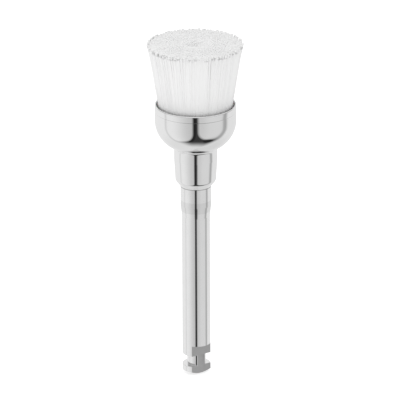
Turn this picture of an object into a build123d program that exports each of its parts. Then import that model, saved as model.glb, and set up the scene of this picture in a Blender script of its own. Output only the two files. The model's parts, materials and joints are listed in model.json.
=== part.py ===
from build123d import *
import os
from math import cos, radians, sin, sqrt

# Cup-shaped prophylaxis brush on a latch-type shank, for a slow-speed dental contra-angle handpiece.
# The origin is the tip of the shank's domed latch end and +Z runs up the shank to the bristle ends.
# The latch flat faces -Y. All sizes are millimetres.

# Latch end and shank
SHANK_R = 1.175         # standard 2.35 mm latch-type shank
DOME_H = 0.30           # rounded tip below the latch head
LATCH_HEAD_H = 0.50
GROOVE_W = 0.92         # groove that the handpiece's latch plate drops into
GROOVE_R = 0.78
FLAT_DISTANCE = 0.69    # shank axis to the driving flat
FLAT_LAND_H = 0.92      # height of the flat above the groove
SHANK_L = 11.39         # full-round length above the flat
TAPER_L = 0.95
COLLAR_R = 1.285
COLLAR_L = 1.70
EDGE_BREAK = 0.06       # small chamfer on the turned edges

# Shank head inside the cup's neck
KNURL_COUNT = 20
KNURL_R = 0.07
RIVET_STEM_R = 0.80
RIVET_HEAD_R = 1.15
RIVET_HEAD_H = 0.35

# Cup
CUP_WALL = 0.15
NECK_WALL = 0.20        # at the neck's thin lower end
NECK_BOTTOM_R = 1.70
NECK_TOP_R = 1.81
NECK_L = 3.40           # from the crimped lower edge to the bowl
NECK_STRAIGHT_L = 1.00  # upper stretch of the neck that doesn't taper
CRIMP_H = 0.50
NECK_FILLET = 0.30
BOWL_R = 3.40
BOWL_ROUND_R = 2.60     # radius of the bowl's rounded lower wall, in section
RIM_BAND_H = 0.58       # plain band under the rim
RIM_H = 1.375           # rim above the widest point of the belly
CREASE = 0.03           # depth of the rolled line under the rim band

# Pieces inside the bowl
WASHER_R = 1.95
WASHER_T = 0.25
ANCHOR_WIRE_R = 0.25
ANCHOR_RING_R = 1.90
BED_COVER = 0.38        # adhesive over the rivet head

# Bristle pack
TUFT_COUNT = 18
PACK_RIM_GAP = 0.15     # bristles to the cup's inner wall, at the rim
PACK_TOP_R = 4.00
PACK_H = 5.30           # bristle ends above the rim
ROOT_DEPTH = 0.50       # top of the bonded roots below the rim
HOLLOW_R = 0.80         # hollow in the middle of the pack

# Clearances
PRESS_GAP = 0.01        # between pressed or riveted metal pieces
BED_GAP = 0.02          # round the adhesive, the ring and the bonded roots
TUFT_GAP = 0.05         # between neighbouring tufts

# Heights along the axis, from the latch tip up
GROOVE_Z = DOME_H + LATCH_HEAD_H
GROOVE_TOP_Z = GROOVE_Z + GROOVE_W
FLAT_TOP_Z = GROOVE_TOP_Z + FLAT_LAND_H
SHANK_TOP_Z = FLAT_TOP_Z + SHANK_L
COLLAR_Z = SHANK_TOP_Z + TAPER_L
CRIMP_Z = COLLAR_Z + COLLAR_L
HEAD_Z = CRIMP_Z + CRIMP_H
BOWL_JOIN_Z = CRIMP_Z + NECK_L
BELLY_Z = BOWL_JOIN_Z + sqrt(BOWL_ROUND_R**2 - (NECK_TOP_R - BOWL_R + BOWL_ROUND_R) ** 2)
RIM_Z = BELLY_Z + RIM_H
ROOT_Z = RIM_Z - ROOT_DEPTH
PACK_TOP_Z = RIM_Z + PACK_H

# Sizes that follow from the cup
NECK_BORE_R = NECK_BOTTOM_R - NECK_WALL
HEAD_R = NECK_BORE_R - PRESS_GAP
INNER_BOWL_R = BOWL_R - CUP_WALL
INNER_ROUND_R = BOWL_ROUND_R - CUP_WALL
PACK_RIM_R = INNER_BOWL_R - PACK_RIM_GAP
PACK_SLOPE = (PACK_TOP_R - PACK_RIM_R) / PACK_H


def bowl_floor_z(radius, gap=0.0):
    """Height of the bowl's inner surface at a radius, or of a surface that lies a gap inside it."""
    return BELLY_Z - sqrt((INNER_ROUND_R - gap) ** 2 - (radius - BOWL_R + BOWL_ROUND_R) ** 2)


WASHER_Z = bowl_floor_z(WASHER_R) + PRESS_GAP
RIVET_TOP_Z = WASHER_Z + WASHER_T + PRESS_GAP + RIVET_HEAD_H
BED_TOP_Z = RIVET_TOP_Z + BED_COVER
ANCHOR_Z = BED_TOP_Z + BED_GAP / 2
TUFT_Z = ROOT_Z + BED_GAP


def pack_radius(z):
    """Outer radius of the flaring bristle pack at a height."""
    return PACK_RIM_R + (z - RIM_Z) * PACK_SLOPE


def disc(radius, low, high):
    """Round disc or post on the shank axis."""
    return Pos(0, 0, low) * Cylinder(radius, high - low, align=(Align.CENTER, Align.CENTER, Align.MIN))


def bowl_fill(low, high):
    """Solid that fills the bowl between two heights, a BED_GAP off its wall."""
    wall = (INNER_BOWL_R - BED_GAP, BELLY_Z)
    floor = (NECK_BORE_R, bowl_floor_z(NECK_BORE_R, BED_GAP))
    with BuildPart() as fill:
        with BuildSketch(Plane.XZ):
            with BuildLine():
                TangentArc(wall, floor, tangent=(0, -1))
                Polyline(floor, (0, floor[1]), (0, RIM_Z), (wall[0], RIM_Z), wall)
            make_face()
        revolve(axis=Axis.Z)
    return fill.part & disc(BOWL_R, low, high)


def ring_groove():
    """Torus that leaves room for the anchor ring."""
    return Pos(0, 0, ANCHOR_Z) * Torus(ANCHOR_RING_R, ANCHOR_WIRE_R + BED_GAP)


def latch_shank():
    """One turned piece: latch head, groove and flat, shank, collar, knurled head and rivet."""
    rivet_z = WASHER_Z + WASHER_T + PRESS_GAP
    head_top_z = WASHER_Z - PRESS_GAP
    with BuildPart() as shank:
        with BuildSketch(Plane.XZ):
            with BuildLine():
                TangentArc((0, 0), (SHANK_R, DOME_H), tangent=(1, 0))
                Polyline(
                    (SHANK_R, DOME_H),
                    (SHANK_R, GROOVE_Z),
                    (GROOVE_R, GROOVE_Z),
                    (GROOVE_R, GROOVE_TOP_Z),
                    (SHANK_R, GROOVE_TOP_Z),
                    (SHANK_R, SHANK_TOP_Z),
                    (COLLAR_R, COLLAR_Z),
                    (COLLAR_R, HEAD_Z),
                    (HEAD_R, HEAD_Z),
                    (HEAD_R, head_top_z),
                    (RIVET_STEM_R, head_top_z),
                    (RIVET_STEM_R, rivet_z),
                    (RIVET_HEAD_R, rivet_z),
                )
                TangentArc((0, RIVET_TOP_Z), (RIVET_HEAD_R, rivet_z), tangent=(1, 0))
                Line((0, RIVET_TOP_Z), (0, 0))
            make_face()
        revolve(axis=Axis.Z)
        groove_edges = shank.edges().filter_by(GeomType.CIRCLE).filter_by_position(
            Axis.Z, GROOVE_Z, GROOVE_TOP_Z
        )
        chamfer(groove_edges.filter_by(lambda edge: edge.radius > GROOVE_R + EDGE_BREAK), EDGE_BREAK)
        with Locations((0, -FLAT_DISTANCE, 0)):
            Box(
                2 * SHANK_R,
                SHANK_R,
                FLAT_TOP_Z,
                align=(Align.CENTER, Align.MAX, Align.MIN),
                mode=Mode.SUBTRACT,
            )
        with Locations((0, 0, HEAD_Z)):
            with PolarLocations(HEAD_R, KNURL_COUNT):
                Cylinder(
                    KNURL_R,
                    head_top_z - HEAD_Z,
                    align=(Align.CENTER, Align.CENTER, Align.MIN),
                    mode=Mode.SUBTRACT,
                )
    return shank.part


def brush_cup():
    """Drawn shell: crimped neck, round bowl, rolled line and a rounded rim."""
    collar_bore_r = COLLAR_R + PRESS_GAP
    crease_z = RIM_Z - RIM_BAND_H
    rim_r = CUP_WALL / 2
    # the neck steps in under the shank's head, or rests on the collar where the collar is the wider
    step_z = HEAD_Z - PRESS_GAP if HEAD_R > COLLAR_R else HEAD_Z + PRESS_GAP
    with BuildPart() as cup:
        with BuildSketch(Plane.XZ) as outline:
            with BuildLine():
                Polyline(
                    (collar_bore_r, CRIMP_Z),
                    (NECK_BOTTOM_R, CRIMP_Z + CRIMP_H),
                    (NECK_TOP_R, BOWL_JOIN_Z - NECK_STRAIGHT_L),
                    (NECK_TOP_R, BOWL_JOIN_Z),
                )
                TangentArc((BOWL_R, BELLY_Z), (NECK_TOP_R, BOWL_JOIN_Z), tangent=(0, -1))
                TangentArc((BOWL_R, BELLY_Z), (BOWL_R - CREASE, crease_z), tangent=(0, 1))
                Polyline(
                    (BOWL_R - CREASE, crease_z),
                    (BOWL_R, crease_z + CREASE),
                    (BOWL_R, RIM_Z - rim_r),
                )
                ThreePointArc(
                    (BOWL_R, RIM_Z - rim_r), (BOWL_R - rim_r, RIM_Z), (INNER_BOWL_R, RIM_Z - rim_r)
                )
                Line((INNER_BOWL_R, RIM_Z - rim_r), (INNER_BOWL_R, BELLY_Z))
                TangentArc(
                    (INNER_BOWL_R, BELLY_Z), (NECK_BORE_R, bowl_floor_z(NECK_BORE_R)), tangent=(0, -1)
                )
                Polyline(
                    (NECK_BORE_R, bowl_floor_z(NECK_BORE_R)),
                    (NECK_BORE_R, step_z),
                    (collar_bore_r, step_z),
                    (collar_bore_r, CRIMP_Z),
                )
            make_face()
            join = outline.vertices().sort_by_distance((NECK_TOP_R, BOWL_JOIN_Z))[0]
            fillet(join, NECK_FILLET)
        revolve(axis=Axis.Z)
    return cup.part


def retaining_washer():
    """Washer under the rivet head, its lower edge on the bowl floor."""
    washer_top_z = WASHER_Z + WASHER_T
    hole = disc(RIVET_STEM_R + PRESS_GAP, WASHER_Z, washer_top_z)
    return disc(WASHER_R, WASHER_Z, washer_top_z) - hole


def anchor_ring():
    """Closed ring of wire that the filaments are folded round."""
    return Pos(0, 0, ANCHOR_Z) * Torus(ANCHOR_RING_R, ANCHOR_WIRE_R)


def floor_adhesive():
    """Bed on the bowl floor, over the washer and the rivet head."""
    washer_room = disc(WASHER_R + BED_GAP, BOWL_JOIN_Z, WASHER_Z + WASHER_T + BED_GAP)
    rivet_room = disc(RIVET_HEAD_R + BED_GAP, WASHER_Z, RIVET_TOP_Z + BED_GAP)
    return bowl_fill(BOWL_JOIN_Z, BED_TOP_Z) - washer_room - rivet_room - ring_groove()


def bristle_roots():
    """Folded and bonded ends of all the filaments, round the hollow."""
    roots_z = BED_TOP_Z + BED_GAP
    return bowl_fill(roots_z, ROOT_Z) - disc(HOLLOW_R, roots_z, ROOT_Z) - ring_groove()


def tuft():
    """The tuft on +X: one wedge of the flaring pack, half a TUFT_GAP in from each side."""
    half_angle = radians(180 / TUFT_COUNT)
    tip_x = TUFT_GAP / 2 / sin(half_angle)
    side = Vector(cos(half_angle), sin(half_angle)) * 2 * PACK_TOP_R
    with BuildPart() as wedge:
        with BuildSketch(Plane.XZ):
            Polygon(
                (HOLLOW_R, TUFT_Z),
                (pack_radius(TUFT_Z), TUFT_Z),
                (PACK_TOP_R, PACK_TOP_Z),
                (HOLLOW_R, PACK_TOP_Z),
                align=None,
            )
        revolve(axis=Axis.Z)
        with BuildSketch(Plane.XY.offset(TUFT_Z)):
            Polygon((tip_x, 0), (tip_x + side.X, -side.Y), (tip_x + side.X, side.Y), align=None)
        extrude(amount=PACK_TOP_Z - TUFT_Z, mode=Mode.INTERSECT)
    return wedge.part


def pieces():
    """Every piece by its name, in place."""
    found = {
        "latch_shank": latch_shank(),
        "brush_cup": brush_cup(),
        "retaining_washer": retaining_washer(),
        "floor_adhesive": floor_adhesive(),
        "anchor_ring": anchor_ring(),
        "bristle_roots": bristle_roots(),
    }
    first_tuft = tuft()
    for number in range(TUFT_COUNT):
        turn = Rot(0, 0, 360 / TUFT_COUNT * number)
        found[f"tuft_{number + 1:02d}"] = turn * first_tuft
    return found


os.makedirs("parts", exist_ok=True)
for name, shape in pieces().items():
    export_step(shape, f"parts/{name}.step")
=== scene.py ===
"""Looks for a latch-type prophylaxis cup brush, built round its CAD frame.

A polished latch shank, a bright drawn cup and a flaring pack of white nylon filaments, each filament
its own closed rod. Every size is in metres, in the frame of the CAD model: +Z runs up the shank and -Y
out of the flat.
"""

import json
import math
import random

import bmesh
import bpy
from bpy.props import FloatProperty, FloatVectorProperty, IntProperty, PointerProperty
from bpy.types import Operator, Panel, PropertyGroup
from mathutils import Matrix, Vector, noise

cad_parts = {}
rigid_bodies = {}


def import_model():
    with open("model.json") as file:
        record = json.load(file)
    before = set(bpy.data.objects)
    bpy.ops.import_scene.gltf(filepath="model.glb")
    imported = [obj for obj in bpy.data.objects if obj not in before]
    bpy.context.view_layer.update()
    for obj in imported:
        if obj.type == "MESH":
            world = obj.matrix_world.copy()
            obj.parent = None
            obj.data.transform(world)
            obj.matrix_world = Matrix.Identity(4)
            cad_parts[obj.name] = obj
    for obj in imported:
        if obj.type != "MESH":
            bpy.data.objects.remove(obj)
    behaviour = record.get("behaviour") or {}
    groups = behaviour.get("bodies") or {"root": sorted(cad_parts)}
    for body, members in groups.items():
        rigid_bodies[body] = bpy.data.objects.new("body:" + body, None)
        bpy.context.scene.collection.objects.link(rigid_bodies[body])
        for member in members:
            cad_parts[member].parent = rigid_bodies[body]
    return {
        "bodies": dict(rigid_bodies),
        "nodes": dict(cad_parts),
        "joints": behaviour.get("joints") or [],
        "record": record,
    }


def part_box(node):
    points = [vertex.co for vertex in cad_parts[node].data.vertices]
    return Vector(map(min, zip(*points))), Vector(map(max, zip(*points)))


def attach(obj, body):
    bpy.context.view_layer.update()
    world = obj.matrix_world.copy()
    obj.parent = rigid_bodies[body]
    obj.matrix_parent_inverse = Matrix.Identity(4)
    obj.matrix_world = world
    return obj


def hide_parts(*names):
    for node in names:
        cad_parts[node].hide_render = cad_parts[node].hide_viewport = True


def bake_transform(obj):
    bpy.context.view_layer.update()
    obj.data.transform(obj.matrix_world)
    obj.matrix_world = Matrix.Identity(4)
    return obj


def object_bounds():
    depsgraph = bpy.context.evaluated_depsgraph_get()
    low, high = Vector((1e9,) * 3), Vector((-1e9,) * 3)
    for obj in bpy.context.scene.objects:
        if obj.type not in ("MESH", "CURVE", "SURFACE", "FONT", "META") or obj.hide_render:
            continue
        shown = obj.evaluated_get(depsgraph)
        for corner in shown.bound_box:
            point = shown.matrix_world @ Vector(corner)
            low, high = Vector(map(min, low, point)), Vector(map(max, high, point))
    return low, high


bl_info = {
    "name": "Latch Cup Brush",
    "version": (1, 0, 0),
    "blender": (4, 5, 0),
    "location": "View3D > Sidebar > Cup Brush",
    "description": "Polished latch shank, bright cup and nylon filaments of a prophylaxis brush",
    "category": "Add Mesh",
}

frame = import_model()
CAD_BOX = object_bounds()

MM = 0.001
FIXED_BODY = "brush_body"
TUFTS = sorted(name for name in frame["bodies"] if name.startswith("tuft_"))
LATHE_STEPS = 144
# Edges that turn by more degrees than this stay sharp, on the metal and on the filaments
SMOOTH_BELOW = 38
ROD_SMOOTH_BELOW = 70
# Tone of a tuft's packed core, where a filament's tone is from 0 to 1
CORE_TONE = 0.6
# How far filaments bow sideways, and how deep their roots are sunk
BOW = 0.015 * MM
ROOT_SINK = 0.1 * MM
# The height that the soft boxes aim at, and how far away they stand
LIGHT_AIM_Z = 20 * MM
LIGHT_REACH = 0.4


def mount(name):
    """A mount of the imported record, by name."""
    return next(m for m in frame["record"]["mounts"] if m["name"] == name)


# Heights and radii that the frame states
SHANK_MOUNT = mount("shank")
SHANK_R = SHANK_MOUNT["dims"]["r_mm"] * MM
SHANK_HALF = SHANK_MOUNT["dims"]["length_mm"] * MM / 2
FLAT_TOP_Z = SHANK_MOUNT["pos_m"][2] - SHANK_HALF
SHANK_TOP_Z = SHANK_MOUNT["pos_m"][2] + SHANK_HALF
FLAT_Y = mount("latch_flat")["pos_m"][1]
GROOVE_MID_Z = mount("latch_groove")["pos_m"][2]
RIVET_TOP_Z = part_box("latch_shank")[1][2]
CRIMP_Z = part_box("brush_cup")[0][2]
RIM_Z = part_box("brush_cup")[1][2]
BOWL_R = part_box("brush_cup")[1][0]
ROOT_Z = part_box("bristle_roots")[1][2]
WASHER_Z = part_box("retaining_washer")[0][2]
WASHER_TOP_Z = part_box("retaining_washer")[1][2]
TUFT_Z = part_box("tuft_01")[0][2]
PACK_TOP_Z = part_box("tuft_01")[1][2]
PACK_TOP_R = CAD_BOX[1][1]


def length(name, text, default_mm):
    """A length property with a default given in millimetres."""
    return FloatProperty(
        name=name, description=text, default=default_mm * MM, min=0, unit="LENGTH", precision=5
    )


def share(name, text, default):
    """A property from 0 to 1."""
    return FloatProperty(name=name, description=text, default=default, min=0, max=1, subtype="FACTOR")


def colour(name, text, default):
    """A linear colour property."""
    return FloatVectorProperty(
        name=name, description=text, default=default, size=3, min=0, max=1, subtype="COLOR"
    )


def angle(name, text, degrees):
    """An angle property with a default given in degrees."""
    return FloatProperty(name=name, description=text, default=math.radians(degrees), subtype="ANGLE")


class ShankSettings(PropertyGroup):
    """Sizes and finish of the latch shank."""

    dome_height: length("Dome Height", "Height of the rounded latch tip", 0.30)
    groove_width: length("Groove Width", "Width of the latch groove", 0.92)
    groove_radius: length("Groove Radius", "Radius of the core left by the latch groove", 0.78)
    taper_length: length("Taper Length", "Length of the taper under the collar", 0.95)
    collar_radius: length("Collar Radius", "Radius of the collar under the cup", 1.285)
    head_radius: length("Head Radius", "Radius of the head inside the cup's neck", 1.49)
    stem_radius: length("Stem Radius", "Radius of the rivet stem", 0.80)
    rivet_radius: length("Rivet Radius", "Radius of the rivet head", 1.15)
    edge: length("Edge Radius", "Rounding of the turned edges", 0.045)
    steel: colour("Steel", "Reflection colour of the polished steel", (0.93, 0.93, 0.93))
    flat_steel: colour("Milled Steel", "Reflection colour of the milled flat", (0.52, 0.52, 0.52))
    roughness: share("Roughness", "Blur of the polished steel", 0.07)


class CupSettings(PropertyGroup):
    """Sizes and finish of the brush cup."""

    wall: length("Wall", "Thickness of the drawn shell", 0.15)
    neck_wall: length("Neck Wall", "Thickness of the neck at its lower end", 0.20)
    neck_bottom_radius: length("Neck Bottom Radius", "Radius of the neck above the crimp", 1.70)
    neck_top_radius: length("Neck Top Radius", "Radius of the neck under the bowl", 1.81)
    neck_length: length("Neck Length", "From the crimped edge to the bowl", 3.40)
    neck_straight: length("Straight Neck", "Stretch of the neck that has no taper", 1.00)
    crimp_height: length("Crimp Height", "Height of the turned-in lower edge", 0.50)
    neck_fillet: length("Neck Fillet", "Radius of the corner between neck and bowl", 0.30)
    round_radius: length("Bowl Round", "Radius of the bowl's lower wall, in section", 2.60)
    band_height: length("Rim Band", "Height of the plain band under the rim", 0.58)
    crease: length("Crease", "Depth of the rolled line under the band", 0.03)
    plate: colour("Plate", "Reflection colour of the bright plating", (0.93, 0.93, 0.93))
    roughness: share("Roughness", "Blur of the plating", 0.035)


class BristleSettings(PropertyGroup):
    """Sizes and finish of the nylon filaments."""

    diameter: length("Filament Diameter", "Thickness of one filament at its root", 0.135)
    end_diameter: length("End Diameter", "Thickness of one filament at its cut end", 0.175)
    pitch: length("Root Pitch", "Distance between filaments at their roots", 0.125)
    hollow_radius: length("Hollow Radius", "Radius of the hollow at the roots", 0.80)
    hollow_top_radius: length("Hollow Top", "Radius of the hollow at the filament ends", 0.10)
    dimple: length("Dimple", "How far the filaments dip in the middle", 0.30)
    core_depth: length("Core Depth", "From the cut ends down to the close-packed core", 0.08)
    tip_scatter: length("Tip Scatter", "How far a filament's end strays sideways", 0.02)
    edge_scatter: length("Edge Scatter", "How far clumps stray at the edge of the pack", 0.06)
    clump_size: length("Clump Size", "Width of a clump of neighbouring filaments", 0.30)
    length_scatter: length("Length Scatter", "How much shorter a filament may be", 0.22)
    bend_height: length("Bend Height", "Height over which a flexing filament bends", 3.2)
    nylon: colour("Nylon", "Colour of the filaments", (0.96, 0.96, 0.96))
    seed: IntProperty(name="Seed", description="Start of the random draws", default=7, min=1)


class StageSettings(PropertyGroup):
    """Camera and light."""

    azimuth: angle("Azimuth", "Camera direction round the brush", -35)
    elevation: angle("Elevation", "Camera height above the horizon", 20.3)
    distance: FloatProperty(
        name="Distance", description="Camera to the brush", default=0.6, min=0.05, unit="LENGTH"
    )
    view_width: length("View Width", "Width of the picture at the brush", 33.33)
    look_at_height: length("Look-at Height", "Height in the middle of the picture", 15.33)
    shift_right: length("Shift Right", "Axis left of the picture's middle", 0.345)
    roll: angle("Roll", "Lean of the camera", -0.22)
    key: FloatProperty(name="Light", description="Brightness of the studio", default=1.0, min=0)


class BrushSettings(PropertyGroup):
    """Everything a user would change on the brush."""

    shank: PointerProperty(type=ShankSettings)
    cup: PointerProperty(type=CupSettings)
    bristles: PointerProperty(type=BristleSettings)
    stage: PointerProperty(type=StageSettings)


# ---------------------------------------------------------------- shader maths


class Value:
    """A shader socket. Python's operators on it add Math nodes."""

    def __init__(self, shader, socket):
        self.shader = shader
        self.socket = socket

    def math(self, operation, *others):
        """This value and others through one Math node."""
        sockets = dict(enumerate((self, *others)))
        return self.shader.node("ShaderNodeMath", {"operation": operation}, sockets)[0]

    def __add__(self, other):
        return self.math("ADD", other)

    def __mul__(self, other):
        return self.math("MULTIPLY", other)

    def __sub__(self, other):
        return self.math("SUBTRACT", other)

    def __truediv__(self, other):
        return self.math("DIVIDE", other)

    def __rsub__(self, other):
        return (self * -1) + other

    __radd__ = __add__
    __rmul__ = __mul__

    def bump(self, centre, width):
        """1 at centre, falling off smoothly over about width on each side."""
        off = (self - centre) / width
        return (off * off * -1).math("EXPONENT")

    def step(self, low, high):
        """0 below low and 1 above high, smooth between them."""
        settings = {"interpolation_type": "SMOOTHSTEP"}
        values = {"Value": self, "From Min": low, "From Max": high}
        return self.shader.node("ShaderNodeMapRange", settings, values)["Result"]


class Node:
    """A shader node whose outputs are Values, by name or number."""

    def __init__(self, shader, node):
        self.shader = shader
        self.node = node

    def __getitem__(self, output):
        return Value(self.shader, self.node.outputs[output])


class Shader:
    """A node tree that is filled through one method."""

    def __init__(self, tree):
        self.tree = tree
        tree.nodes.clear()

    def node(self, kind, settings=None, values=None):
        """A new node: its settings first, then the values or links of its sockets."""
        made = self.tree.nodes.new(kind)
        for name, setting in (settings or {}).items():
            setattr(made, name, setting)
        for name, value in (values or {}).items():
            if isinstance(value, Value):
                self.tree.links.new(value.socket, made.inputs[name])
            else:
                made.inputs[name].default_value = value
        return Node(self, made)

    def noise(self, vector, scale, detail=2.0):
        """Noise from 0 to 1 at a scale in cells per metre."""
        values = {"Vector": vector, "Scale": scale, "Detail": detail}
        return self.node("ShaderNodeTexNoise", None, values)["Fac"]

    def stretched(self, vector, factors):
        """Object coordinates multiplied axis by axis."""
        return self.node("ShaderNodeVectorMath", {"operation": "MULTIPLY"}, {0: vector, 1: factors})[0]

    def mix(self, factor, low, high):
        """A colour between low and high, by a factor that is a Value."""
        mixed = self.node("ShaderNodeMix", {"data_type": "RGBA"})
        sockets = {s.identifier: s for s in mixed.node.inputs}
        self.tree.links.new(factor.socket, sockets["Factor_Float"])
        sockets["A_Color"].default_value = (*low, 1)
        sockets["B_Color"].default_value = (*high, 1)
        result = next(s for s in mixed.node.outputs if s.identifier == "Result_Color")
        return Value(self, result)


def scaled(rgb, factor):
    """A colour made darker or lighter."""
    return tuple(min(1.0, c * factor) for c in rgb)


def new_material(name):
    """An empty material and its shader."""
    material = bpy.data.materials.new(name)
    material.use_nodes = True
    material.diffuse_color = (0.8, 0.8, 0.8, 1)
    return material, Shader(material.node_tree)


def finish_material(shader, values):
    """Ends a material with a Principled shader that has these sockets."""
    surface = shader.node("ShaderNodeBsdfPrincipled", None, values)["BSDF"]
    shader.node("ShaderNodeOutputMaterial", None, {"Surface": surface})


def object_place(shader):
    """Object coordinates."""
    return shader.node("ShaderNodeTexCoord")["Object"]


def metal(name, tint, roughness, lines, line_depth, shade_bands=()):
    """Polished metal with fine marks, lines of them per metre along X, Y and Z.

    Each band of height in the last argument is painted shade, a darker base colour: from, to, soft edge and
    how much.
    """
    material, shader = new_material(name)
    place = object_place(shader)
    height = shader.node("ShaderNodeSeparateXYZ", None, {0: place})["Z"]
    # Painted shade: each listed band of height darkens the base colour
    band_shade = 0
    for low, high, edge, amount in shade_bands:
        band = height.step(low - edge, low + edge) * height.step(high + edge, high - edge)
        band_shade = band * amount + band_shade
    marks = shader.noise(shader.stretched(place, lines), 1.0, 3.0)
    cloud = shader.noise(place, 900.0, 2.0)
    blur = cloud * (roughness * 0.5) + marks * (roughness * 0.5) + roughness * 0.5
    bump = {"Strength": line_depth, "Distance": 0.004 * MM, "Height": marks}
    values = {
        "Base Color": shader.mix(cloud * 0.1 + band_shade, scaled(tint, 1.02), scaled(tint, 0.5)),
        "Metallic": 1.0,
        "Roughness": blur,
        "Normal": shader.node("ShaderNodeBump", None, bump)["Normal"],
    }
    finish_material(shader, values)
    return material


def nylon(name, tint):
    """White nylon: a tone per filament, with painted shade near the rim and painted shade between the
    clumped cut ends near the edge.
    """
    material, shader = new_material(name)
    tone = shader.node("ShaderNodeAttribute", {"attribute_name": "tone"})["Fac"]
    place = object_place(shader)
    streaks = shader.noise(shader.stretched(place, (9000, 9000, 500)), 1.0, 2.0)
    axes = shader.node("ShaderNodeSeparateXYZ", None, {0: place})
    height = axes["Z"]
    # Painted shade: the filaments darken towards the rim, standing for the shade deep in the pack by the
    # cup
    rim_shade = ((height - RIM_Z) / (-0.70 * MM)).math("EXPONENT").math("MINIMUM", 1.2)
    out = (axes["X"] * axes["X"] + axes["Y"] * axes["Y"]).math("SQRT")
    below_top = (PACK_TOP_Z - height) / MM
    from_edge = (PACK_TOP_R - out) / MM
    # Painted shade: dark noisy marks just under the cut ends near the pack's edge, standing for the shadows
    # between clumped ends
    tip_shade = shader.noise(place, 3200.0, 1.0).step(0.46, 0.60) * from_edge.step(0.20, 0.10)
    tip_shade = tip_shade * below_top.step(0.42, 0.26) * below_top.step(0.02, 0.12)
    shade = (tone * 0.7 + streaks * 0.3) * 0.05 + 0.865 - rim_shade * 0.38 - tip_shade * 0.55
    values = {
        "Base Color": shader.mix(shade, scaled(tint, 0.45), scaled(tint, 1.01)),
        "Roughness": streaks * 0.2 + 0.3,
        "Specular IOR Level": 0.35,
        "IOR": 1.53,
    }
    finish_material(shader, values)
    return material


def bonded(name, tint, speck, grain):
    """Set adhesive or bonded filament ends, mottled at a grain in cells per metre."""
    material, shader = new_material(name)
    place = object_place(shader)
    cells = shader.node("ShaderNodeTexVoronoi", None, {"Vector": place, "Scale": grain})["Distance"]
    mottle = cells * 0.6 + shader.noise(place, grain / 4) * 0.5
    bump = {"Strength": 0.4, "Distance": 0.03 * MM, "Height": cells}
    values = {
        "Base Color": shader.mix(mottle, speck, tint),
        "Roughness": mottle * 0.3 + 0.25,
        "Subsurface Weight": 0.3,
        "Subsurface Scale": 0.3 * MM,
        "Normal": shader.node("ShaderNodeBump", None, bump)["Normal"],
    }
    finish_material(shader, values)
    return material


# ---------------------------------------------------------------- modelling helpers


def arc(centre, radius, start, end, steps):
    """Outline points on a circle, from one angle to another in degrees. 0 points outwards and 90 up."""
    angles = [math.radians(start + (end - start) * i / steps) for i in range(steps + 1)]
    return [(centre[0] + radius * math.cos(a), centre[1] + radius * math.sin(a)) for a in angles]


def rounded(points, radius, steps=4, crisp=()):
    """An open outline with each inner corner rounded, and a held point beside each round.

    The corners listed in crisp get only a fifth of the radius.
    """
    held = 0.012 * MM
    made = [points[0]]
    for before, place, after in zip(points, points[1:], points[2:]):
        corner = Vector(place)
        back = Vector(before) - corner
        forth = Vector(after) - corner
        half = back.angle(forth) / 2
        size = radius / 5 if place in crisp else radius
        reach = min(size / math.tan(half), back.length * 0.45, forth.length * 0.45)
        start = corner + back.normalized() * reach
        end = corner + forth.normalized() * reach
        if back.length > reach + 3 * held:
            made.append(tuple(corner + back.normalized() * (reach + held)))
        for i in range(steps + 1):
            t = i / steps
            made.append(tuple(start.lerp(corner, t).lerp(corner.lerp(end, t), t)))
        if forth.length > reach + 3 * held:
            made.append(tuple(corner + forth.normalized() * (reach + held)))
    made.append(points[-1])
    return made


def lathe(outline, steps, closed):
    """A bmesh spun from an outline of (radius, height) about Z. closed joins the outline's two ends."""
    bm = bmesh.new()
    verts = [bm.verts.new((r, 0, z)) for r, z in outline]
    edges = [bm.edges.new(pair) for pair in zip(verts, verts[1:])]
    if closed:
        edges.append(bm.edges.new((verts[-1], verts[0])))
    bmesh.ops.spin(
        bm,
        geom=verts + edges,
        cent=(0, 0, 0),
        axis=(0, 0, 1),
        angle=math.tau,
        steps=steps,
        use_merge=True,
    )
    bmesh.ops.remove_doubles(bm, verts=bm.verts, dist=1e-8)
    bmesh.ops.recalc_face_normals(bm, faces=bm.faces)
    return bm


def to_piece(name, bm, materials, smooth_below=SMOOTH_BELOW):
    """Ends a bmesh as a smooth-shaded object in the scene, sharp above an angle in degrees."""
    mesh = bpy.data.meshes.new(name)
    bm.to_mesh(mesh)
    bm.free()
    for material in materials:
        mesh.materials.append(material)
    mesh.shade_smooth()
    mesh.set_sharp_from_angle(angle=math.radians(smooth_below))
    piece = bpy.data.objects.new(name, mesh)
    bpy.context.scene.collection.objects.link(piece)
    return piece


def cut_flat(bm, flat_y, top_z):
    """Mills the flat: removes what lies beyond flat_y below top_z, and closes the flat and its ledge."""
    near = 1e-7
    everything = bm.verts[:] + bm.edges[:] + bm.faces[:]
    bmesh.ops.bisect_plane(bm, geom=everything, plane_co=(0, 0, top_z), plane_no=(0, 0, 1), dist=near)
    low = [f for f in bm.faces if f.calc_center_median().z < top_z]
    low_edges = {e for f in low for e in f.edges}
    low_verts = {v for f in low for v in f.verts}
    bmesh.ops.bisect_plane(
        bm, geom=[*low_verts, *low_edges, *low], plane_co=(0, flat_y, 0), plane_no=(0, -1, 0), dist=near
    )
    gone = []
    for face in bm.faces:
        middle = face.calc_center_median()
        if middle.y < flat_y - near and middle.z < top_z:
            gone.append(face)
    bmesh.ops.delete(bm, geom=gone, context="FACES")
    open_edges = [e for e in bm.edges if e.is_boundary]
    on_flat = [e for e in open_edges if all(abs(v.co.y - flat_y) < 10 * near for v in e.verts)]
    on_ledge = [e for e in open_edges if e not in set(on_flat)]
    corners = [v for v in {v for e in on_ledge for v in e.verts} if abs(v.co.y - flat_y) < 10 * near]
    brow = bm.edges.new(corners)
    made = []
    for loop in (on_flat, on_ledge):
        made += bmesh.ops.contextual_create(bm, geom=loop + [brow])["faces"]
    for face in made:
        face.material_index = 1
    bmesh.ops.recalc_face_normals(bm, faces=bm.faces)


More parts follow.
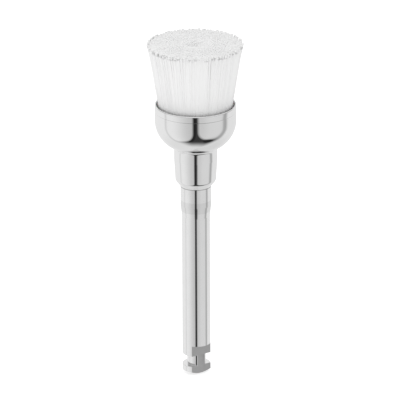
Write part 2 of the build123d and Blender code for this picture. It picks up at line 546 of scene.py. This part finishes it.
def settle(piece, body, nodes):
    """Rides a piece on its body and hides the CAD nodes that it stands for."""
    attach(piece, body)
    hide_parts(*nodes)


# ---------------------------------------------------------------- pieces


class BRUSH_OT_shank(Operator):
    """Turn the latch shank, with its groove, flat, collar and rivet"""

    bl_idname = "cup_brush.shank"
    bl_label = "Latch Shank"

    def execute(self, context):
        s = context.scene.cup_brush.shank
        cup = context.scene.cup_brush.cup
        groove_low = GROOVE_MID_Z - s.groove_width / 2
        groove_high = GROOVE_MID_Z + s.groove_width / 2
        head_z = CRIMP_Z + cup.crimp_height
        dome_r = (SHANK_R**2 + s.dome_height**2) / (2 * s.dome_height)
        dome_end = math.degrees(math.asin(SHANK_R / dome_r)) - 90
        dome = arc((0, dome_r), dome_r, -90, dome_end, 12)
        rivet_h = RIVET_TOP_Z - WASHER_TOP_Z
        rivet_r = (s.rivet_radius**2 + rivet_h**2) / (2 * rivet_h)
        rivet_start = 90 - math.degrees(math.asin(s.rivet_radius / rivet_r))
        rivet = arc((0, RIVET_TOP_Z - rivet_r), rivet_r, rivet_start, 90, 8)
        turned = [
            dome[-1],
            (SHANK_R, groove_low),
            (s.groove_radius, groove_low),
            (s.groove_radius, groove_high),
            (SHANK_R, groove_high),
            (SHANK_R, SHANK_TOP_Z),
            (s.collar_radius, SHANK_TOP_Z + s.taper_length),
            (s.collar_radius, head_z),
            (s.head_radius, head_z),
            (s.head_radius, WASHER_Z),
            (s.stem_radius, WASHER_Z),
            (s.stem_radius, WASHER_TOP_Z),
            rivet[0],
        ]
        groove_roots = ((s.groove_radius, groove_low), (s.groove_radius, groove_high))
        outline = dome[:-1] + rounded(turned, s.edge, crisp=groove_roots) + rivet[1:]
        bm = lathe(outline, LATHE_STEPS, closed=False)
        cut_flat(bm, FLAT_Y, FLAT_TOP_Z)
        turning = (300.0, 300.0, 26000.0)
        milling = (2500.0, 2500.0, 22000.0)
        # Painted shade: the band on the taper is darkened to stand for its dimmer reflection
        taper = (SHANK_TOP_Z + 0.45 * MM, SHANK_TOP_Z + 1.42 * MM, 0.06 * MM, 0.18)
        # Painted shadow: a dark line on the collar just under the cup's crimped edge, where the gap between
        # them lies
        crimp_gap_shadow = (CRIMP_Z - 0.07 * MM, CRIMP_Z + 0.02 * MM, 0.015 * MM, 0.9)
        steel = metal("polished_steel", s.steel, s.roughness, turning, 0.12, [taper, crimp_gap_shadow])
        milled = metal("milled_steel", s.flat_steel, 0.34, milling, 0.5)
        piece = to_piece("latch_shank_turned", bm, [steel, milled])
        settle(piece, FIXED_BODY, ["latch_shank"])
        return {"FINISHED"}


class BRUSH_OT_cup(Operator):
    """Spin the drawn cup, with its crimped neck, round bowl and rim"""

    bl_idname = "cup_brush.cup"
    bl_label = "Brush Cup"

    def execute(self, context):
        c = context.scene.cup_brush.cup
        shank = context.scene.cup_brush.shank
        join_z = CRIMP_Z + c.neck_length
        round_x = BOWL_R - c.round_radius
        belly_z = join_z + math.sqrt(c.round_radius**2 - (c.neck_top_radius - round_x) ** 2)
        crease_z = RIM_Z - c.band_height
        rim_r = c.wall / 2
        bore_r = c.neck_bottom_radius - c.neck_wall
        step_z = CRIMP_Z + c.crimp_height
        collar_bore_r = shank.collar_radius + (bore_r - shank.head_radius)
        # the fillet rolls between the neck's side and the bowl's round wall
        fillet_x = c.neck_top_radius + c.neck_fillet
        reach = c.round_radius + c.neck_fillet
        fillet_z = belly_z - math.sqrt(reach**2 - (fillet_x - round_x) ** 2)
        bowl_start = -math.degrees(math.acos((fillet_x - round_x) / reach))
        fillet = arc((fillet_x, fillet_z), c.neck_fillet, 180, 180 + bowl_start, 8)
        bowl = arc((round_x, belly_z), c.round_radius, bowl_start, 0, 40)
        # the belly rolls in by the crease's depth under the rim band
        roll_h = crease_z - belly_z
        roll_r = (roll_h**2 + c.crease**2) / (2 * c.crease)
        roll_end = math.degrees(math.asin(roll_h / roll_r))
        roll = arc((BOWL_R - roll_r, belly_z), roll_r, 0, roll_end, 8)
        band = [roll[-1], (BOWL_R, crease_z + c.crease), (BOWL_R, RIM_Z - rim_r)]
        rim = arc((BOWL_R - rim_r, RIM_Z - rim_r), rim_r, 0, 180, 10)
        inner_round_r = c.round_radius - c.wall
        floor_angle = -math.degrees(math.acos((bore_r - round_x) / inner_round_r))
        inside = arc((round_x, belly_z), inner_round_r, 0, floor_angle, 24)
        neck = [
            (collar_bore_r, CRIMP_Z),
            (c.neck_bottom_radius, CRIMP_Z + c.crimp_height),
            (c.neck_top_radius, join_z - c.neck_straight),
            fillet[0],
        ]
        crimp = [inside[-1], (bore_r, step_z), (collar_bore_r, step_z)]
        outline = rounded(neck, 0.42 * MM, 7)[:-1] + fillet + bowl[1:] + roll[1:-1]
        outline += rounded(band, 0.01 * MM, 2)[:-1] + rim + inside + crimp[1:]
        bm = lathe(outline, LATHE_STEPS, closed=True)
        draw_lines = (5000.0, 5000.0, 1500.0)
        # Painted shade: the rolled crease under the rim band is darkened in the base colour
        crease_shade = (crease_z, crease_z + c.crease, 0.02 * MM, 0.75)
        plate = metal("bright_plate", c.plate, c.roughness, draw_lines, 0.04, [crease_shade])
        piece = to_piece("brush_cup_drawn", bm, [plate])
        settle(piece, FIXED_BODY, ["brush_cup"])
        return {"FINISHED"}


def splay(along):
    """How far out a filament is, at a share of its height: nearly straight, then bending out at the end."""
    return 0.86 * along + 0.14 * along**6


def filament_template():
    """One upright filament of radius 1 and height 1: a six-sided rod with rings where it bends."""
    bm = bmesh.new()
    bmesh.ops.create_cone(bm, cap_ends=True, segments=6, radius1=1, radius2=1, depth=1)
    bmesh.ops.translate(bm, verts=bm.verts, vec=(0, 0, 0.5))
    for height in (0.12, 0.3, 0.55, 0.78, 0.92):
        everything = bm.verts[:] + bm.edges[:] + bm.faces[:]
        bmesh.ops.bisect_plane(bm, geom=everything, plane_co=(0, 0, height), plane_no=(0, 0, 1))
    mesh = bpy.data.meshes.new("filament_template")
    bm.to_mesh(mesh)
    bm.free()
    return mesh


class BRUSH_OT_bristles(Operator):
    """Grow the nylon filaments, one unattached piece for each tuft, though the frame lets each tuft flex by
    itself
    """

    bl_idname = "cup_brush.bristles"
    bl_label = "Bristle Pack"

    def execute(self, context):
        b = context.scene.cup_brush.bristles
        draw = random.Random(b.seed)
        noise.seed_set(b.seed)
        material = nylon("white_nylon", b.nylon)
        template = filament_template()
        root_r = PACK_TOP_R - (PACK_TOP_Z - TUFT_Z) * self.flare(context)
        for number, body in enumerate(TUFTS):
            middle = math.tau * number / len(TUFTS)
            bm = self.tuft(b, draw, template, middle, root_r)
            piece = to_piece(f"{body}_filaments", bm, [material], ROD_SMOOTH_BELOW)
            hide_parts(body)
            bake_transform(piece)
        bpy.data.meshes.remove(template)
        return {"FINISHED"}

    @staticmethod
    def flare(context):
        """How far the pack's side leans out for each metre of height."""
        joint = next(j for j in frame["joints"] if j["child"] == TUFTS[0])
        root_r = Vector(joint["pos_m"]).xy.length
        return (PACK_TOP_R - root_r) / (PACK_TOP_Z - TUFT_Z)

    @staticmethod
    def tuft(b, draw, template, middle, root_r):
        """A bmesh of one tuft: its packed core and rows of filaments across one sector of the pack."""
        bm = bmesh.new()
        tone = bm.verts.layers.float.new("tone")
        radius = b.diameter / 2
        sector = math.tau / len(TUFTS)
        inner = b.hollow_radius + radius
        outer = root_r - radius
        BRUSH_OT_bristles.core(bm, tone, b, middle, inner, outer)
        rows = int((outer - inner) / b.pitch) + 1
        for row in range(rows):
            depth = row / (rows - 1)
            row_r = inner + (outer - inner) * depth
            top_r = b.hollow_top_radius + radius
            top_r += (PACK_TOP_R - b.end_diameter / 2 - top_r) * depth
            count = max(1, round(row_r * sector / b.pitch))
            for k in range(count):
                loose = 0.1 if row == rows - 1 else 0.35
                turn = middle + sector * ((k + 0.5 + draw.uniform(-loose, loose)) / count - 0.5)
                root = Vector((row_r * math.cos(turn), row_r * math.sin(turn), ROOT_Z - ROOT_SINK))
                tip = BRUSH_OT_bristles.tip(b, draw, turn, top_r + draw.gauss(0, loose) * b.pitch)
                BRUSH_OT_bristles.filament(bm, template, tone, draw, root, tip, b)
        return bm

    @staticmethod
    def tip(b, draw, turn, top_r):
        """Where a filament ends: neighbours stray together in clumps, and the pack's middle dips."""
        flat = Vector((top_r * math.cos(turn), top_r * math.sin(turn), 0))
        clump = noise.noise_vector(flat / b.clump_size)
        edge = min(1, top_r / PACK_TOP_R) ** 4
        stray = Vector((draw.gauss(0, b.tip_scatter), draw.gauss(0, b.tip_scatter), 0))
        stray += Vector((clump.x, clump.y, 0)) * (b.tip_scatter + b.edge_scatter * 4 * edge)
        tip = flat + stray
        reach = PACK_TOP_R + b.edge_scatter - b.end_diameter / 2
        if tip.length > reach:
            tip = tip.normalized() * reach
        drop = abs(clump.z) * (0.25 + 0.6 * edge) + abs(draw.gauss(0, 0.1 + 0.1 * edge))
        dip = b.dimple * math.exp(-((top_r / b.hollow_radius) ** 2))
        tip.z = PACK_TOP_Z - b.length_scatter * drop - dip
        return tip

    @staticmethod
    def core(bm, tone, b, middle, inner, outer):
        """The close-packed mass between a tuft's filaments: one sector, a little short of the ends."""
        top_z = PACK_TOP_Z - b.core_depth
        top_out = PACK_TOP_R - b.end_diameter / 2
        waist_z = TUFT_Z + (top_z - TUFT_Z) * 0.8
        waist_out = outer + (top_out - outer) * splay(0.8)
        proud = b.diameter * 0.36
        profile = (
            (inner, TUFT_Z),
            (outer + proud, TUFT_Z),
            (waist_out + proud, waist_z),
            (top_out, top_z - b.core_depth * 2),
            (top_out - b.end_diameter, top_z),
            (b.hollow_radius * 1.4, top_z),
            (b.hollow_radius * 0.7, top_z - b.dimple * 0.6),
            (b.hollow_top_radius + b.diameter / 2, top_z - b.dimple),
        )
        sector = math.tau / len(TUFTS) * 0.99
        verts = [bm.verts.new((r, 0, z)) for r, z in profile]
        face = bm.faces.new(verts)
        start = Matrix.Rotation(middle - sector / 2, 3, "Z")
        bmesh.ops.rotate(bm, verts=verts, cent=(0, 0, 0), matrix=start)
        bmesh.ops.spin(
            bm, geom=verts + face.edges[:] + [face], cent=(0, 0, 0), axis=(0, 0, 1), angle=sector, steps=3
        )
        for part in (0.15, 0.3, 0.45, 0.6):
            level = (0, 0, TUFT_Z + (top_z - TUFT_Z) * part)
            everything = bm.verts[:] + bm.edges[:] + bm.faces[:]
            bmesh.ops.bisect_plane(bm, geom=everything, plane_co=level, plane_no=(0, 0, 1))
        bmesh.ops.recalc_face_normals(bm, faces=bm.faces)
        for v in bm.verts:
            v[tone] = CORE_TONE

    @staticmethod
    def filament(bm, template, tone, draw, root, tip, b):
        """Adds one filament from root to tip, splaying towards its end, with a tone of its own."""
        first = len(bm.verts)
        bm.from_mesh(template)
        bm.verts.ensure_lookup_table()
        verts = bm.verts[first:]
        spin = Matrix.Rotation(draw.uniform(0, math.tau), 4, "Z")
        bmesh.ops.transform(bm, matrix=spin, verts=verts)
        shade = draw.random()
        bow = Vector((draw.gauss(0, BOW), draw.gauss(0, BOW), 0))
        for v in verts:
            along = v.co.z
            v[tone] = shade
            place = root.lerp(tip, splay(along)) + bow * (4 * along * (1 - along))
            place.z = root.z + (tip.z - root.z) * along
            radius = (b.diameter + (b.end_diameter - b.diameter) * along) / 2
            v.co = place + Vector((v.co.x * radius, v.co.y * radius, 0))


class BRUSH_OT_inner_pieces(Operator):
    """Give the washer, ring, adhesive and bonded roots inside the bowl their finishes"""

    bl_idname = "cup_brush.inner_pieces"
    bl_label = "Inner Pieces"

    def execute(self, context):
        even = (4000.0, 4000.0, 4000.0)
        finishes = {
            "retaining_washer": metal("stamped_steel", (0.60, 0.60, 0.61), 0.30, even, 0.3),
            "anchor_ring": metal("drawn_wire", (0.55, 0.55, 0.56), 0.25, even, 0.2),
            "floor_adhesive": bonded("clear_adhesive", (0.86, 0.80, 0.66), (0.70, 0.62, 0.46), 2500.0),
            "bristle_roots": bonded("bonded_nylon", (0.90, 0.89, 0.87), (0.62, 0.61, 0.58), 5500.0),
        }
        for node, material in finishes.items():
            for slot in frame["nodes"][node].material_slots:
                slot.material = material
        return {"FINISHED"}


# ---------------------------------------------------------------- stage


def studio_world(stage):
    """White room for the metal: two soft panels, a dark gap between them at the camera, and its foot."""
    world = bpy.data.worlds.new("studio")
    world.use_nodes = True
    shader = Shader(world.node_tree)
    way = shader.node("ShaderNodeTexCoord")["Generated"]
    axes = shader.node("ShaderNodeSeparateXYZ", None, {0: way})
    ahead = (math.sin(stage.azimuth), -math.cos(stage.azimuth))
    right = (math.cos(stage.azimuth), math.sin(stage.azimuth))
    front = axes["X"] * ahead[0] + axes["Y"] * ahead[1]
    side = axes["X"] * right[0] + axes["Y"] * right[1]
    degree = 180 / math.pi
    turn = side.math("ARCTAN2", front) * degree
    rise = axes["Z"].math("ARCSINE") * degree
    left = panel(turn, rise, middle=(-49, -14), half=(44, 43), roundness=3.0)
    right = panel(turn, rise, middle=(48, -10), half=(42, 39.5), roundness=2.7)
    room = 0.84 - rise.step(-30, -60) * 0.09 - turn.step(70, 110) * 0.05
    left_tone = 0.83 - turn.step(-75, -5) * 0.28
    right_tone = turn.step(12, 45) * 0.09 + 0.60
    seen = room + left.step(1.0, 0.92) * (left_tone - room) + right.step(1.0, 0.92) * (right_tone - room)
    gap = turn.step(-78, -12) * turn.step(88, 38) * rise.step(-88, -54) * rise.step(25, 0)
    seen = seen * (1 - gap * left.step(0.84, 1.06) * right.step(0.84, 1.07) * 0.95)
    seen = seen - right.bump(1.05, 0.19) * turn.step(25, 60) * 0.42 - left.bump(1.0, 0.09) * 0.16
    seen = seen.math("MAXIMUM", 0.02)
    ceiling = turn.math("ABSOLUTE").step(118, 150) * 0.45 + 0.36
    ceiling = ceiling + (0.97 - ceiling) * rise.step(30, 44)
    seen = seen + (ceiling - seen) * rise.step(-6, 14)
    path = shader.node("ShaderNodeLightPath")
    glossy = path["Is Glossy Ray"]
    camera = path["Is Camera Ray"]
    room_light = (1.0 + side * -0.05 - axes["Z"] * 0.12) * stage.key
    strength = glossy * seen + (1 - glossy) * room_light
    strength = strength * (1 - camera) + camera * 1.2
    light = {"Color": (1, 1, 1, 1), "Strength": strength}
    background = shader.node("ShaderNodeBackground", None, light)["Background"]
    shader.node("ShaderNodeOutputWorld", None, {"Surface": background})
    return world


def panel(turn, rise, middle, half, roundness):
    """A rounded soft panel in the room, in degrees: below 1 inside its frame and above 1 outside."""
    across = ((turn - middle[0]) / half[0]).math("ABSOLUTE").math("POWER", roundness)
    upright = ((rise - middle[1]) / half[1]).math("ABSOLUTE").math("POWER", roundness)
    return (across + upright).math("POWER", 1 / roundness)


def direction(azimuth, elevation):
    """The way towards an azimuth, from -Y towards +X, and an elevation, as a unit vector."""
    level = math.cos(elevation)
    return Vector((math.sin(azimuth) * level, -math.cos(azimuth) * level, math.sin(elevation)))


def soft_box(name, place, size, power):
    """A square area light that faces the brush and isn't mirrored in the metal."""
    light = bpy.data.lights.new(name, "AREA")
    light.size = size
    light.energy = power
    lamp = bpy.data.objects.new(name, light)
    aim = Vector((0, 0, LIGHT_AIM_Z)) - place
    lamp.matrix_world = Matrix.Translation(place) @ aim.to_track_quat("-Z", "Y").to_matrix().to_4x4()
    lamp.visible_glossy = False
    bpy.context.scene.collection.objects.link(lamp)
    return lamp


class BRUSH_OT_stage(Operator):
    """Set the pale floor, the studio light and the camera"""

    bl_idname = "cup_brush.stage"
    bl_label = "Studio Stage"

    def execute(self, context):
        stage = context.scene.cup_brush.stage
        context.scene.world = studio_world(stage)
        self.floor(context)
        self.lights(stage)
        self.camera(context, stage)
        context.scene.view_settings.view_transform = "Standard"
        context.scene.view_settings.look = "None"
        return {"FINISHED"}

    @staticmethod
    def floor(context):
        """A wide pale floor under the latch tip, which neither mirrors in the brush nor lights it."""
        bm = bmesh.new()
        bmesh.ops.create_grid(bm, x_segments=8, y_segments=8, size=4)
        mesh = bpy.data.meshes.new("floor")
        bm.to_mesh(mesh)
        bm.free()
        material, shader = new_material("pale_floor")
        grain = shader.noise(object_place(shader), 300.0)
        values = {
            "Base Color": shader.mix(grain, (0.84, 0.84, 0.84), (0.86, 0.86, 0.86)),
            "Roughness": 0.9,
            "Specular IOR Level": 0.0,
            "Emission Color": (1, 1, 1, 1),
            "Emission Strength": 0.45,
        }
        finish_material(shader, values)
        mesh.materials.append(material)
        floor = bpy.data.objects.new("floor", mesh)
        floor.visible_glossy = False
        floor.visible_diffuse = False
        context.scene.collection.objects.link(floor)

    @staticmethod
    def lights(stage):
        """A soft box on each side of the camera."""
        for name, turn, rise, size, power in (
            ("left_box", -62, 28, 0.30, 0.10),
            ("right_box", 66, 24, 0.24, 0.04),
        ):
            way = direction(stage.azimuth + math.radians(turn), math.radians(rise))
            soft_box(name, way * LIGHT_REACH + Vector((0, 0, LIGHT_AIM_Z)), size, power * stage.key)

    @staticmethod
    def camera(context, stage):
        """A long lens, turned, raised and leant as the stage settings say."""
        data = bpy.data.cameras.new("camera")
        data.sensor_width = 36
        data.lens = data.sensor_width / 2 / (stage.view_width / 2 / stage.distance)
        data.clip_start = 0.01
        data.clip_end = 20
        back = direction(stage.azimuth, stage.elevation)
        right = Vector((math.cos(stage.azimuth), math.sin(stage.azimuth), 0))
        target = Vector((0, 0, stage.look_at_height)) + right * stage.shift_right
        camera = bpy.data.objects.new("camera", data)
        aim = (-back).to_track_quat("-Z", "Y").to_matrix().to_4x4()
        lean = Matrix.Rotation(stage.roll, 4, "Z")
        camera.matrix_world = Matrix.Translation(target + back * stage.distance) @ aim @ lean
        context.scene.collection.objects.link(camera)
        context.scene.camera = camera


class BRUSH_PT_panel(Panel):
    """Sidebar panel that lists the pieces and their settings"""

    bl_idname = "BRUSH_PT_panel"
    bl_label = "Latch Cup Brush"
    bl_space_type = "VIEW_3D"
    bl_region_type = "UI"
    bl_category = "Cup Brush"

    def draw(self, context):
        settings = context.scene.cup_brush
        for operator, group in (
            (BRUSH_OT_shank, settings.shank),
            (BRUSH_OT_cup, settings.cup),
            (BRUSH_OT_bristles, settings.bristles),
            (BRUSH_OT_stage, settings.stage),
        ):
            box = self.layout.box()
            box.operator(operator.bl_idname)
            for name in group.bl_rna.properties.keys():
                if name not in ("rna_type", "name"):
                    box.prop(group, name)
        self.layout.operator(BRUSH_OT_inner_pieces.bl_idname)


CLASSES = (
    ShankSettings,
    CupSettings,
    BristleSettings,
    StageSettings,
    BrushSettings,
    BRUSH_OT_shank,
    BRUSH_OT_cup,
    BRUSH_OT_bristles,
    BRUSH_OT_inner_pieces,
    BRUSH_OT_stage,
    BRUSH_PT_panel,
)


def register():
    for cls in CLASSES:
        bpy.utils.register_class(cls)
    bpy.types.Scene.cup_brush = PointerProperty(type=BrushSettings)


def unregister():
    del bpy.types.Scene.cup_brush
    for cls in reversed(CLASSES):
        bpy.utils.unregister_class(cls)


def main():
    register()
    bpy.ops.cup_brush.shank()
    bpy.ops.cup_brush.cup()
    bpy.ops.cup_brush.bristles()
    bpy.ops.cup_brush.inner_pieces()
    bpy.ops.cup_brush.stage()


if __name__ == "__main__":
    main()
